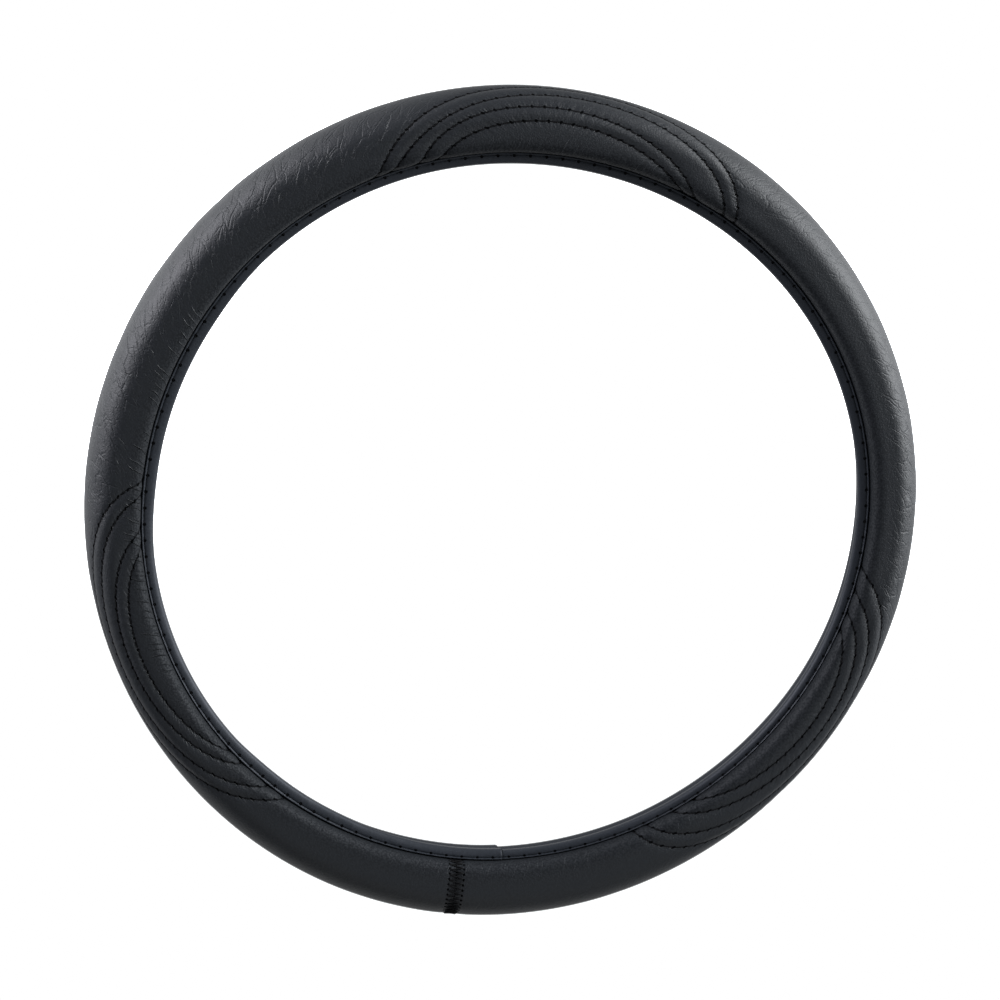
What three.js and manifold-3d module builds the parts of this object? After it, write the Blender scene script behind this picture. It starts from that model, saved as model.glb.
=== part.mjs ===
// Steering wheel cover: a padded skin sewn over a ribbed rubber ring, its two lips bound with folded tape.
// Millimetres, +Z up. The cover lies on its back with the hub axis on Z and the top of the wheel at +Y.
import * as THREE from 'three';
import { mergeVertices } from 'three/addons/utils/BufferGeometryUtils.js';
import Module from 'manifold-3d';

// Ring and section
const outerRadius = 190; // relaxed, for wheels 370 to 390 mm across
const sectionWidth = 31.5; // radial, from the outermost point to the front lip's edge
const sectionDepth = 34; // front to back
const crestFlat = 4; // flat that the soft cover takes where it lies, the same on both crests
const shoulderCurve = { alongCrest: 0.6, aboveHem: 0.7 }; // its handles, as shares of its width and height

// Lips: each is a flap of skin and rubber, bound together, that points at the hub
const backLipSetBack = 3.4; // the back lip stops further out and is hidden from the front
const hemHeight = 8.6; // above and below the ring's middle plane
const lipTilt = 18; // degrees, each lip leans in towards the other
const lipLength = 4.4; // of the flap under the tape
const skinTurn = 0.4; // from the skin's turn into the lip to the hem
const turnSpread = 0.75; // how much earlier a deeper layer turns, for each millimetre of its depth

// Thicknesses
const skinThickness = 2.2; // leatherette on foam
const skinAtLip = 1; // pressed flat and skived under the tape
const rubberThickness = 1.8;
const layerClearance = 0.3; // between two layers that are sewn together
const tapeThickness = 0.9;
const tapeEdgeGap = 0.15; // from the hem to the tape's folded edge
const tapeInnerReach = 3.4; // how far the tape comes back on the inside of the lip
const tapeCorner = 1.1; // chamfer where the tape folds round the lip's edge

// Grip ribs inside the rubber ring
const ribAngles = [40, 0, -40]; // round the section, from the outermost point
const ribHeight = 0.7;
const ribWidth = 2.4;

// Quilting: nested arches on each panel, stitched from the front hem over the crest and back
const panelCount = 3;
const archHalfAngles = [29.2, 26.4, 21.5, 18.5]; // degrees round the ring, the outermost arch first
const archHeight = 36.2; // of the outermost arch, on the skin from the front hem
const archSpacing = 7.6; // down to the next arch
const archTightening = 0.7; // each spacing further in is so much less
const channelWidth = 3.4; // of the furrow that a row of stitches pulls in
const channelDepth = 1.1;
const furrowStart = 1.6; // the furrows fade out this far from the hem

// Ends of the strips
const joinAngle = 188.9; // clockwise from the top, where the ends of the skin strip meet
const joinGap = 0.4; // between the butted ends of the skin
const joinValleyWidth = 3.2; // where the join's stitches pull it in
const joinValleyDepth = 0.8;
const lapAngle = 182.4; // clockwise from the top, where the tape's end shows
const lapLength = 7; // degrees of the tape that lie double
const lapRise = 5; // degrees over which the tape climbs on its own start

// Facets
const ringSteps = 48; // round the ring
const faceSteps = { shoulder: 3, round: 8 }; // on the curves of the skin's face
const hiddenSteps = { shoulder: 2, round: 6 }; // and on the hidden layers
const routeSamples = 400; // places tried along a furrow to find where it crosses the facets' edges
const shortestBend = 3; // between two bends of a furrow

const radians = THREE.MathUtils.degToRad;
const centreRadius = outerRadius - sectionWidth / 2;
const roundCentre = centreRadius + crestFlat / 2;
const halfDepth = sectionDepth / 2;
const lipReach = lipLength + layerClearance + tapeThickness;
const frontHemRadius = outerRadius - sectionWidth + lipReach * Math.cos(radians(lipTilt));
const backHemRadius = frontHemRadius + backLipSetBack;

const wasm = await Module();
wasm.setup();

const toSolid = (geometry) => {
  const bare = geometry.index ? geometry.toNonIndexed() : geometry.clone();
  bare.deleteAttribute('normal');
  bare.deleteAttribute('uv');
  const merged = mergeVertices(bare, 1e-4);
  return new wasm.Manifold(new wasm.Mesh({
    numProp: 3,
    vertProperties: new Float32Array(merged.attributes.position.array),
    triVerts: new Uint32Array(merged.index.array),
  }));
};

const toGeometry = (solid) => {
  const mesh = solid.getMesh();
  const geometry = new THREE.BufferGeometry();
  geometry.setAttribute('position', new THREE.BufferAttribute(new Float32Array(mesh.vertProperties), 3));
  geometry.setIndex(new THREE.BufferAttribute(new Uint32Array(mesh.triVerts), 1));
  geometry.computeVertexNormals();
  return geometry;
};

// A section point is a Vector2 of radius and height; side is 1 on the front lip and -1 on the back lip.
// Along a lip, reach runs from the hem towards the hub and lift runs out of the skin's face.
const lipPoint = (side, reach, lift) => {
  const tilt = radians(lipTilt);
  const hemRadius = side > 0 ? frontHemRadius : backHemRadius;
  return new THREE.Vector2(
    hemRadius - reach * Math.cos(tilt) - lift * Math.sin(tilt),
    side * (hemHeight - reach * Math.sin(tilt) + lift * Math.cos(tilt)),
  );
};

// One layer's line from the front lip's end, round the outside, to the back lip's end.
// inset is its depth below the skin's face on the body, drop its depth on the lips, flat its crests' width.
const layerLine = (inset, drop, flat) => {
  const crest = (side) => new THREE.Vector2(roundCentre - flat, side * (halfDepth - inset));
  const turnIn = (side) => lipPoint(side, -skinTurn - turnSpread * inset, -drop);
  const shoulder = (side) => {
    const top = crest(side);
    const hem = turnIn(side);
    return {
      top,
      nearTop: new THREE.Vector2(top.x - shoulderCurve.alongCrest * (top.x - hem.x), top.y),
      nearHem: new THREE.Vector2(hem.x, hem.y + shoulderCurve.aboveHem * (top.y - hem.y)),
      hem,
    };
  };
  const front = shoulder(1);
  const back = shoulder(-1);
  const line = new THREE.Path();
  line.moveTo(...lipPoint(1, lipLength, -drop));
  line.lineTo(...front.hem);
  line.bezierCurveTo(...front.nearHem, ...front.nearTop, ...front.top);
  if (flat > 0) line.lineTo(roundCentre, front.top.y);
  const roundRadius = outerRadius - roundCentre - inset;
  line.absellipse(roundCentre, 0, roundRadius, halfDepth - inset, Math.PI / 2, -Math.PI / 2, true);
  if (flat > 0) line.lineTo(...back.top);
  line.bezierCurveTo(...back.nearTop, ...back.nearHem, ...back.hem);
  line.lineTo(...lipPoint(-1, lipLength, -drop));
  return line;
};

// Corners along a line, with each of its curves cut into so many segments
const cornersOf = (line, steps) => {
  const corners = [line.curves[0].getPoint(0)];
  for (const curve of line.curves) {
    let count = 1;
    if (curve.isCubicBezierCurve) count = steps.shoulder;
    if (curve.isEllipseCurve) count = steps.round;
    for (let step = 1; step <= count; step += 1) corners.push(curve.getPoint(step / count));
  }
  return corners;
};

const skinFace = layerLine(0, 0, crestFlat);
const skinBack = layerLine(skinThickness, skinAtLip, 0);
const rubberFace = layerLine(skinThickness + layerClearance, skinAtLip + layerClearance, 0);
const rubberInset = skinThickness + layerClearance + rubberThickness;
const lipBundle = skinAtLip + layerClearance + rubberThickness;
const rubberBack = layerLine(rubberInset, lipBundle, 0);

// The section between two lines, closed and turned about the Z axis
const turned = (outsideLine, insideLine) => {
  const outline = [...insideLine, ...outsideLine.reverse()];
  const ring = new THREE.LatheGeometry([...outline, outline[0].clone()], ringSteps);
  ring.rotateX(Math.PI / 2);
  return ring;
};

// The rubber's inner line is its plain line with the ribs raised on the half round
const ribbedLine = () => {
  const shoulders = cornersOf(rubberBack, hiddenSteps).filter((point) => point.x <= roundCentre + 1e-6);
  const onRound = (degrees, inset) => {
    const angle = radians(degrees);
    const radius = outerRadius - roundCentre - inset;
    return new THREE.Vector2(roundCentre + radius * Math.cos(angle), (halfDepth - inset) * Math.sin(angle));
  };
  const spread = THREE.MathUtils.radToDeg(ribWidth / 2 / (halfDepth - rubberInset));
  const ribs = ribAngles.flatMap((angle) => [
    onRound(angle + spread, rubberInset),
    onRound(angle, rubberInset + ribHeight),
    onRound(angle - spread, rubberInset),
  ]);
  return [
    ...shoulders.filter((point) => point.y > 0),
    ...ribs,
    ...shoulders.filter((point) => point.y < 0),
  ];
};

// A solid through a row of like sections; the outline shows how its end faces are cut into triangles
const loft = (sections, outline) => {
  const corners = outline.length;
  const index = [];
  for (let section = 0; section < sections.length - 1; section += 1) {
    for (let corner = 0; corner < corners; corner += 1) {
      const next = (corner + 1) % corners;
      const here = section * corners;
      const there = here + corners;
      index.push(here + corner, there + next, there + corner);
      index.push(here + corner, here + next, there + next);
    }
  }
  const last = (sections.length - 1) * corners;
  for (const [a, b, c] of THREE.ShapeUtils.triangulateShape(outline, [])) {
    index.push(a, b, c, last + a, last + c, last + b);
  }
  const solid = new THREE.BufferGeometry();
  solid.setFromPoints(sections.flat());
  solid.setIndex(index);
  solid.computeVertexNormals();
  return solid;
};

// A place on the skin is its distance from the front hem and its angle clockwise from the top
const faceCorners = cornersOf(skinFace, faceSteps);
const faceLine = new THREE.Path(faceCorners);
const flapLength = faceCorners[0].distanceTo(faceCorners[1]);
const faceLength = faceLine.getLength() - 2 * flapLength;
const cornerDistances = faceLine.getCurveLengths().map((length) => length - flapLength);
const facetAngle = 360 / ringSteps;

const onSkin = ({ fromHem, clockwise }, lift) => {
  const share = (flapLength + fromHem) / faceLine.getLength();
  const point = faceLine.getPoint(share);
  const along = skinFace.getTangent(share);
  const offMiddle = THREE.MathUtils.euclideanModulo(clockwise, facetAngle) - facetAngle / 2;
  const facetRadius = point.x * Math.cos(radians(facetAngle / 2)) / Math.cos(radians(offMiddle));
  const radius = facetRadius - along.y * lift;
  const angle = radians(clockwise);
  return new THREE.Vector3(radius * Math.sin(angle), radius * Math.cos(angle), point.y + along.x * lift);
};

// The places where a route goes from one facet of the skin to the next, and its two ends
const bendsOf = (route) => {
  const facetAt = ({ fromHem, clockwise }) => {
    const row = cornerDistances.filter((distance) => distance < fromHem).length;
    return `${row} of ${Math.floor(clockwise / facetAngle)}`;
  };
  const bends = [route(0)];
  for (let sample = 1; sample < routeSamples; sample += 1) {
    const place = route(sample / routeSamples);
    const crossed = facetAt(place) !== facetAt(route((sample - 1) / routeSamples));
    const fromLast = onSkin(place, 0).distanceTo(onSkin(bends[bends.length - 1], 0));
    if (crossed && fromLast > shortestBend) bends.push(place);
  }
  bends.push(route(1));
  return bends;
};

// A furrow is cut by a wedge that follows the facets, with its edge sunk in them
const furrow = (width, depth, route) => {
  const bends = bendsOf(route);
  const feet = bends.map((place) => onSkin(place, 0));
  const wedge = [
    new THREE.Vector2(width, depth),
    new THREE.Vector2(0, -depth),
    new THREE.Vector2(-width, depth),
  ];
  const sections = bends.map((place, number) => {
    const foot = feet[number];
    const outward = onSkin(place, 1).sub(foot).normalize();
    const before = feet[Math.max(number - 1, 0)];
    const after = feet[Math.min(number + 1, feet.length - 1)];
    const sideways = after.clone().sub(before).cross(outward).normalize();
    return wedge.map(({ x, y }) => (
      foot.clone().addScaledVector(sideways, x).addScaledVector(outward, y)
    ));
  });
  return toSolid(loft(sections, wedge));
};

const archFurrow = (halfAngle, height, panelAngle) => furrow(channelWidth, channelDepth, (share) => {
  const sweep = Math.PI * (share - 0.5);
  return {
    fromHem: furrowStart + (height - furrowStart) * Math.cos(sweep),
    clockwise: panelAngle + halfAngle * Math.sin(sweep),
  };
});

const joinFurrow = () => furrow(joinValleyWidth, joinValleyDepth, (share) => (
  { fromHem: furrowStart + (faceLength - 2 * furrowStart) * share, clockwise: joinAngle }
));

const joinSlot = () => {
  const slot = new THREE.BoxGeometry(joinGap, 2 * sectionWidth, 2 * sectionDepth);
  slot.translate(0, centreRadius, 0);
  slot.rotateZ(-radians(joinAngle));
  return toSolid(slot);
};

const makeSkin = () => {
  let skin = toSolid(turned(cornersOf(skinFace, faceSteps), cornersOf(skinBack, hiddenSteps)));
  for (let panel = 0; panel < panelCount; panel += 1) {
    const panelAngle = joinAngle + (panel + 0.5) * 360 / panelCount;
    let height = archHeight;
    for (const [number, halfAngle] of archHalfAngles.entries()) {
      skin = skin.subtract(archFurrow(halfAngle, height, panelAngle));
      height -= archSpacing - number * archTightening;
    }
  }
  return toGeometry(skin.subtract(joinFurrow()).subtract(joinSlot()));
};

const makeRubberRing = () => toGeometry(toSolid(turned(cornersOf(rubberFace, hiddenSteps), ribbedLine())));

// The tape's section, folded round a lip; grow lifts it clear of a layer of tape that lies under it
const tapeSection = (side, grow) => {
  const insideLift = layerClearance + grow;
  const outsideLift = insideLift + tapeThickness;
  const insideEnd = lipLength + insideLift;
  const outsideEnd = lipLength + outsideLift;
  const backReach = lipLength - tapeInnerReach;
  const outline = [
    [tapeEdgeGap, insideLift],
    [insideEnd, insideLift],
    [insideEnd, -lipBundle - insideLift],
    [backReach, -lipBundle - insideLift],
    [backReach, -lipBundle - outsideLift],
    [outsideEnd, -lipBundle - outsideLift],
    [outsideEnd, outsideLift - tapeCorner],
    [outsideEnd - tapeCorner, outsideLift],
    [tapeEdgeGap, outsideLift],
  ];
  const points = outline.map(([reach, lift]) => lipPoint(side, reach, lift));
  return side > 0 ? points : points.reverse();
};

// The tape runs once round its lip from its hidden start and ends lapped over that start
const makeTape = (side) => {
  const lifted = tapeThickness + layerClearance;
  const stations = [];
  for (let turn = 0; turn < 360 - lapRise; turn += facetAngle) stations.push({ turn, grow: 0 });
  stations.push({ turn: 360 - lapRise, grow: 0 }, { turn: 360, grow: lifted });
  stations.push({ turn: 360 + lapLength / 2, grow: lifted }, { turn: 360 + lapLength, grow: lifted });
  const sections = stations.map(({ turn, grow }) => {
    const angle = radians(lapAngle + lapLength - turn);
    return tapeSection(side, grow).map((point) => (
      new THREE.Vector3(point.x * Math.sin(angle), point.x * Math.cos(angle), point.y)
    ));
  });
  return loft(sections, tapeSection(side, 0));
};

const leatherette = new THREE.MeshStandardMaterial({ color: 0x1f2225, roughness: 0.5, metalness: 0 });
const rubber = new THREE.MeshStandardMaterial({ color: 0x161719, roughness: 0.8, metalness: 0 });
const tapeVinyl = new THREE.MeshStandardMaterial({ color: 0x1b1d24, roughness: 0.4, metalness: 0 });

const cover = new THREE.Group();
cover.position.z = halfDepth;

const addPart = (name, geometry, material) => {
  const mesh = new THREE.Mesh(geometry, material);
  mesh.name = name;
  cover.add(mesh);
};

addPart('outer_skin', makeSkin(), leatherette);
addPart('rubber_grip_ring', makeRubberRing(), rubber);
addPart('front_lip_tape', makeTape(1), tapeVinyl);
addPart('back_lip_tape', makeTape(-1), tapeVinyl);

export default cover;
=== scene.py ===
# Steering wheel cover: quilted leatherette over a ribbed rubber ring, its lips bound with lapped tape.
# The dictionaries hold millimetres and degrees. Angles run clockwise from the top, seen from the front.
import math
import bmesh
import bpy
import numpy as np
from mathutils import Matrix, Vector, noise
from mathutils.geometry import interpolate_bezier


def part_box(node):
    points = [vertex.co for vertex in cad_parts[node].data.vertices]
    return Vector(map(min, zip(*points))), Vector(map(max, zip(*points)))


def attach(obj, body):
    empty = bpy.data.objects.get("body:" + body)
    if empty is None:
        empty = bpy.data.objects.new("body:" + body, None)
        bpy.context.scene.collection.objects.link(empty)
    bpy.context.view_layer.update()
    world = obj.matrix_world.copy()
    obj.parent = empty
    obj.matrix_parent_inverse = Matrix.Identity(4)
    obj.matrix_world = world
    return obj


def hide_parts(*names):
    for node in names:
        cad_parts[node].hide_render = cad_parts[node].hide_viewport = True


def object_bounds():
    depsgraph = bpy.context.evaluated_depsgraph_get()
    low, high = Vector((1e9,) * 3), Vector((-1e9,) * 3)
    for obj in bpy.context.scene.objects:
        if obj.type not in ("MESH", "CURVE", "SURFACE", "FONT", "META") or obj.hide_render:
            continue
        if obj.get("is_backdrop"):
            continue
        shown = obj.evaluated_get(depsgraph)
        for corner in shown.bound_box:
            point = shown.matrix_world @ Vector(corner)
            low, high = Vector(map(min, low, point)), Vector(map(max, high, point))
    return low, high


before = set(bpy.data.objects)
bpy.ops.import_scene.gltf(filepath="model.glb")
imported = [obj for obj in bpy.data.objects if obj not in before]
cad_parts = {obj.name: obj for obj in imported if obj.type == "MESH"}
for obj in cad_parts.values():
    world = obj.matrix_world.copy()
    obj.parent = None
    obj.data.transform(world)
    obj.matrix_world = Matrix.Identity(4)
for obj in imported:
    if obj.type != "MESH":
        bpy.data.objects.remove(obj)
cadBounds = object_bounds()
mm = 0.001
skinLow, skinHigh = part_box("outer_skin")

ring = {
    "outerRadius": (skinHigh.x - skinLow.x) / 2 / mm,
    "middle": (skinHigh.z + skinLow.z) / 2 / mm,
    "halfDepth": (skinHigh.z - skinLow.z) / 2 / mm,
    "sectionWidth": 31.5,
    "crestFlat": 4,
    "hemHeight": 8.6,  # from the middle plane
    "lipTilt": math.radians(18),
    "lipReach": 5.6,  # from the hem to the tape's edge
    "backSetBack": 3.4,
    "flap": 4.4,  # skin under the tape
    "turn": 0.25,  # from the skin's turn to the hem
    "alongCrest": 0.8,
    "aboveHem": 0.9,
    "joinAngle": 188.9,
    "joinSlant": (0.35, -0.019),  # degrees at the hem, and degrees for each millimetre from it
    # a relaxed cover isn't round: waves round the ring, cosine and sine parts
    "outerWaves": {2: (-0.67, 0.25), 3: (0.43, 0.47), 4: (0.19, -0.12)},
    "hemWaves": {2: (1.64, 0.48), 3: (0.67, 0.18), 4: (0.02, 0.21)},
    # where the lips draw back towards the hem, and where they reach further in: angle, half width and share
    "drawnLips": [(155, 54, 0.28)],
    "longLips": [(291, 22, 0.2), (218, 12, 0.12)],
}
ring["lipEdge"] = ring["outerRadius"] - ring["sectionWidth"]
ring["hemRadius"] = ring["lipEdge"] + ring["lipReach"] * math.cos(ring["lipTilt"])
ring["roundCentre"] = ring["outerRadius"] - (ring["sectionWidth"] - ring["crestFlat"]) / 2


# Places on the ring

def lipPlace(side, reach, lift):
    # reach runs from the hem to the hub, lift out of the lip's face; side is 1 in front and -1 behind
    start = ring["hemRadius"] + (0 if side > 0 else ring["backSetBack"])
    radius = start - reach * math.cos(ring["lipTilt"]) - lift * math.sin(ring["lipTilt"])
    height = ring["hemHeight"] - reach * math.sin(ring["lipTilt"]) + lift * math.cos(ring["lipTilt"])
    return radius, side * height


def skinSection():
    # the skin's face from the front flap round the outside to the back flap, as radius, height and distance
    top = ring["halfDepth"]
    half = []
    for side in (1, -1):
        hem = Vector(lipPlace(side, -ring["turn"], 0))
        crest = Vector((ring["roundCentre"] - ring["crestFlat"], side * top))
        nearHem = Vector((hem.x, hem.y + ring["aboveHem"] * (crest.y - hem.y)))
        nearCrest = Vector((crest.x - ring["alongCrest"] * (crest.x - hem.x), crest.y))
        shoulder = interpolate_bezier(hem, nearHem, nearCrest, crest, 80)
        half.append([Vector(lipPlace(side, ring["flap"], 0)), *shoulder])
    turns = np.linspace(math.pi / 2, -math.pi / 2, 160)
    width = ring["outerRadius"] - ring["roundCentre"]
    rounded = [Vector((ring["roundCentre"] + width * math.cos(t), top * math.sin(t))) for t in turns]
    line = np.array([*half[0], *rounded, *half[1][::-1]])
    travel = np.append(0, np.cumsum(np.hypot(*np.diff(line, axis=0).T)))
    travel -= ring["flap"] + ring["turn"]
    even = np.arange(travel[0], travel[-1], 0.2)
    radius, height = np.interp(even, travel, line[:, 0]), np.interp(even, travel, line[:, 1])
    ahead, up = np.gradient(radius), np.gradient(height)
    length = np.hypot(ahead, up)
    return {"at": even, "radius": radius, "height": height, "out": -up / length, "rise": ahead / length}


section = skinSection()
faceEnd = section["at"][-1] - ring["flap"] - ring["turn"]  # the back hem


def smooth(value, low, high):
    t = np.clip((value - low) / (high - low), 0, 1)
    return t * t * (3 - 2 * t)


def around(angle, middle):
    return (angle - middle + 180) % 360 - 180


def waves(angle, terms):
    turn = np.radians(90 - angle)
    return sum(c * np.cos(k * turn) + s * np.sin(k * turn) for k, (c, s) in terms.items())


def regionShare(angle, regions):
    # the strongest region at each angle; a region fades out about its half width
    fadeFrom, fadeTo = 0.55, 1.25
    share = np.zeros_like(angle, dtype=float)
    for middle, half, strength in regions:
        away = np.abs(around(angle, middle)) / half
        share = np.maximum(share, strength * (1 - smooth(away, fadeFrom, fadeTo)))
    return share


def onRing(angle, radius, height):
    share = np.clip((ring["outerRadius"] - radius) / (ring["outerRadius"] - ring["hemRadius"]), 0, 1)
    moved = radius + (1 - share) * waves(angle, ring["outerWaves"]) + share * waves(angle, ring["hemWaves"])
    drawn = regionShare(angle, ring["drawnLips"]) - regionShare(angle, ring["longLips"])
    hem = ring["hemRadius"] + ring["backSetBack"] * (height < 0)
    moved = moved + drawn * np.maximum(hem - radius, 0)
    turn = np.radians(90 - angle)
    places = [moved * np.cos(turn), moved * np.sin(turn), height + ring["middle"]]
    return np.stack(np.broadcast_arrays(*places), axis=-1) * mm


def onSkin(angle, fromHem, lift):
    radius, height, out, rise = (
        np.interp(fromHem, section["at"], section[key]) for key in ("radius", "height", "out", "rise")
    )
    return onRing(angle, radius + lift * out, height + lift * rise)


def skinRadius(fromHem):
    return np.interp(fromHem, section["at"], section["radius"])


# Quilting: four nested arches of stitches on each of three panels

quilt = {
    "panels": [
        {
            "spans": [(337.9, 37.6), (340.4, 35.5), (345.3, 30.2), (348.2, 28.1)],
            "further": 2.6, "lean": [0.02, 0.02, 0.14, 0.14], "slack": [0.3, 0.3, 0.05, 0],
        },
        {
            "spans": [(100.3, 159.3), (104.3, 156.8), (108.1, 152.0), (111.1, 148.2)],
            "further": -0.8, "lean": [0.05, 0.08, 0.14, 0.14], "slack": [0.2, 0.12, 0, 0],
        },
        {
            "spans": [(219.2, 277.6), (222.6, 275.5), (228.3, 270.1), (231.1, 267.4)],
            "further": 1.3, "lean": [-0.12, -0.12, -0.14, -0.14], "slack": [0.24, 0.16, 0, 0],
        },
    ],
    "heights": [36.2, 29.2, 22.3, 16.3],  # from the front hem
    "pitch": 5.5,
    "furrowDepth": 0.55,
    "furrowWidth": 1.15,
    "padRise": 0.22,
    "padReach": 2.2,  # from a furrow to the full pad
    "padEdge": 2.5,  # inside the outer arch, over which the pad begins
    "hemPuff": 0.15,
    "puffPlace": 4.2,  # from either hem
    "puffWidth": 2.8,
    "pucker": 0.08,
    "puckerReach": 2.0,
    "farthest": 8.0,  # no distance to a row is counted beyond this
}


def archesOf():
    # middle and half width in degrees, height, lean and slack of each arch, one row for each panel
    shape = {"middle": [], "half": [], "height": [], "lean": [], "slack": []}
    for panel in quilt["panels"]:
        widths = [(end - start) % 360 for start, end in panel["spans"]]
        shape["middle"].append([start + width / 2 for (start, _), width in zip(panel["spans"], widths)])
        shape["half"].append([width / 2 for width in widths])
        shape["height"].append([height + panel["further"] for height in quilt["heights"]])
        shape["lean"].append(panel["lean"])
        shape["slack"].append(panel["slack"])
    return {key: np.array(rows) for key, rows in shape.items()}


arches = archesOf()


def bow(x, slack):
    # an ellipse's power on the arch's last half, and less on its first, where the line comes in slanting
    return 1 - slack * smooth(-x, -0.3, 0.6)


def archPoint(panel, row, turn):
    # turn runs from 0 to pi along the arch, from its first foot to its last
    lean, x = arches["lean"][panel, row], -np.cos(turn)
    along = (1 - np.sqrt(1 - 4 * lean * (x - lean))) / (2 * lean)
    angle = arches["middle"][panel, row] + arches["half"][panel, row] * along
    power = bow(along, arches["slack"][panel, row])
    return angle, arches["height"][panel, row] * np.maximum(np.sin(turn), 0) ** (1 / power)


def archTable(panel, row):
    turns = np.linspace(0, math.pi, 181)
    angle, fromHem = archPoint(panel, row, turns)
    across = np.radians(np.diff(angle)) * skinRadius((fromHem[1:] + fromHem[:-1]) / 2)
    travel = np.append(0, np.cumsum(np.hypot(across, np.diff(fromHem))))
    return turns, travel


archTables = [[archTable(panel, row) for row in range(4)] for panel in range(3)]


def archPlaces(angle, fromHem):
    # for each of the four rows: distance across the nearest arch's line and travel along it
    panels = np.argmin([np.abs(around(angle, middle)) for middle in arches["middle"][:, 0]], axis=0)
    across, along = [], []
    for row in range(4):
        middle, half, height, lean, slack = (values[panels, row] for values in arches.values())
        x = np.clip(around(angle, middle) / half, -1.6, 1.6)
        leant, power = x + lean * (1 - x * x), bow(x, slack)
        y = np.maximum(fromHem / height, 0.02)
        up = y ** power
        size = np.maximum(np.hypot(leant, up), 0.05)
        slopeX = leant / size * (1 - 2 * lean * x) / (np.radians(half) * skinRadius(fromHem))
        slopeY = up / size * power * y ** (power - 1) / height
        away = (size - 1) / np.maximum(np.hypot(slopeX, slopeY), 1e-4)
        across.append(np.clip(away, -quilt["farthest"], quilt["farthest"]))
        turn = np.arctan2(up, -leant)
        travel = np.zeros_like(turn)
        for panel in range(3):
            mine = panels == panel
            travel[mine] = np.interp(turn[mine], *archTables[panel][row])
        along.append(travel)
    return np.array(across), np.array(along)


def joinAt(fromHem):
    atHem, change = ring["joinSlant"]
    return ring["joinAngle"] + atHem + change * fromHem


def ripple(x, y, seed):
    # smooth unevenness between -1 and 1
    pairs = zip(x.ravel(), y.ravel())
    return np.array([noise.noise(Vector((a, b, seed))) for a, b in pairs]).reshape(x.shape)


join = {
    "halfWidth": 3.2,
    "pitch": 2.3,
    "valley": 0.45,
    "valleyWidth": 3.2,
    "gap": 0.35,
}

creases = {
    # angle, half width and strength
    "regions": [(306, 50, 1.0), (88, 30, 0.9), (46, 16, 0.7), (185, 40, 0.25)],
    "depth": 0.16,
    "foldsBegin": (6, 20),  # from the front hem, as are the three below
    "foldsEnd": (50, 70),
    "fineBegin": (11, 24),
    "foldWidth": 22,
    "foldLength": 14,  # round the ring
    "foldSlant": 0.5,
    "fineLeast": 0.16,  # the share of fine creases outside the regions
    "fineLost": 0.75,  # and the share of them lost on the quilted panels
    "hemPuckers": [(275, 30, 1.0), (205, 42, 0.13), (165, 25, 0.1), (20, 25, 0.15)],
    "puckerDepth": 0.1,
    "puckerReach": 3.5,
    "puckerSize": (2.6, 9),  # round the ring and from the hem
    "tuckShare": 0.75,
}


def relief(angle, fromHem):
    # how far the padded skin stands above or below its plain section
    across, along = archPlaces(angle, fromHem)
    near = np.min(np.abs(across), axis=0)
    rise = quilt["padRise"] * (1 - np.exp(-(near / quilt["padReach"]) ** 2))
    rise = rise * smooth(-across[0], 0, quilt["padEdge"])
    toHem = np.minimum(fromHem, faceEnd - fromHem)
    puff = quilt["hemPuff"] * np.exp(-((toHem - quilt["puffPlace"]) / quilt["puffWidth"]) ** 2)
    rise = rise + puff * smooth(toHem, 0, 1.5)
    for row in range(4):
        away = np.abs(across[row])
        rise = rise - quilt["furrowDepth"] * np.exp(-away / quilt["furrowWidth"])
        beat = np.cos(2 * math.pi * along[row] / quilt["pitch"])
        rise = rise - quilt["pucker"] * beat * np.exp(-away / quilt["puckerReach"])
    fromJoin = np.radians(around(angle, joinAt(fromHem))) * skinRadius(fromHem)
    rise = rise - join["valley"] * np.exp(-(fromJoin / join["valleyWidth"]) ** 2)
    # soft folds between the panels
    mmRound = np.radians(angle) * ring["roundCentre"]
    quiet = 1 - smooth(-across[0], -2, 2)
    share = regionShare(angle, creases["regions"]) * quiet * smooth(fromHem, *creases["foldsBegin"])
    share = share * (1 - smooth(fromHem, *creases["foldsEnd"]))
    slanted = mmRound + creases["foldSlant"] * fromHem
    folds = ripple(slanted / creases["foldLength"], fromHem / creases["foldWidth"], seed=3.1)
    rise = rise + creases["depth"] * share * folds
    # small puckers beside the hem
    roundSize, outSize = creases["puckerSize"]
    fading = np.exp(-np.maximum(fromHem - 1, 0) / creases["puckerReach"])
    tuck = regionShare(angle, creases["hemPuckers"]) * fading
    rise = rise + creases["puckerDepth"] * tuck * ripple(mmRound / roundSize, fromHem / outSize, seed=7.7)
    return rise


# Flat work: each piece is laid out flat, then bent on to the ring

def sweep(places, outline):
    # a grid with a column at each place along X and a row at each point of the closed outline
    bm = bmesh.new()
    columns, rows = len(places) - 1, len(outline)
    bmesh.ops.create_grid(bm, x_segments=columns, y_segments=rows, size=1)
    for vert in bm.verts:
        place = places[round((vert.co.x + 1) / 2 * columns)]
        vert.co = (place, *outline[round((vert.co.y + 1) / 2 * rows) % rows])
    bmesh.ops.remove_doubles(bm, verts=bm.verts, dist=1e-4)
    bmesh.ops.holes_fill(bm, edges=[edge for edge in bm.edges if edge.is_boundary], sides=0)
    return bm


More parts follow.
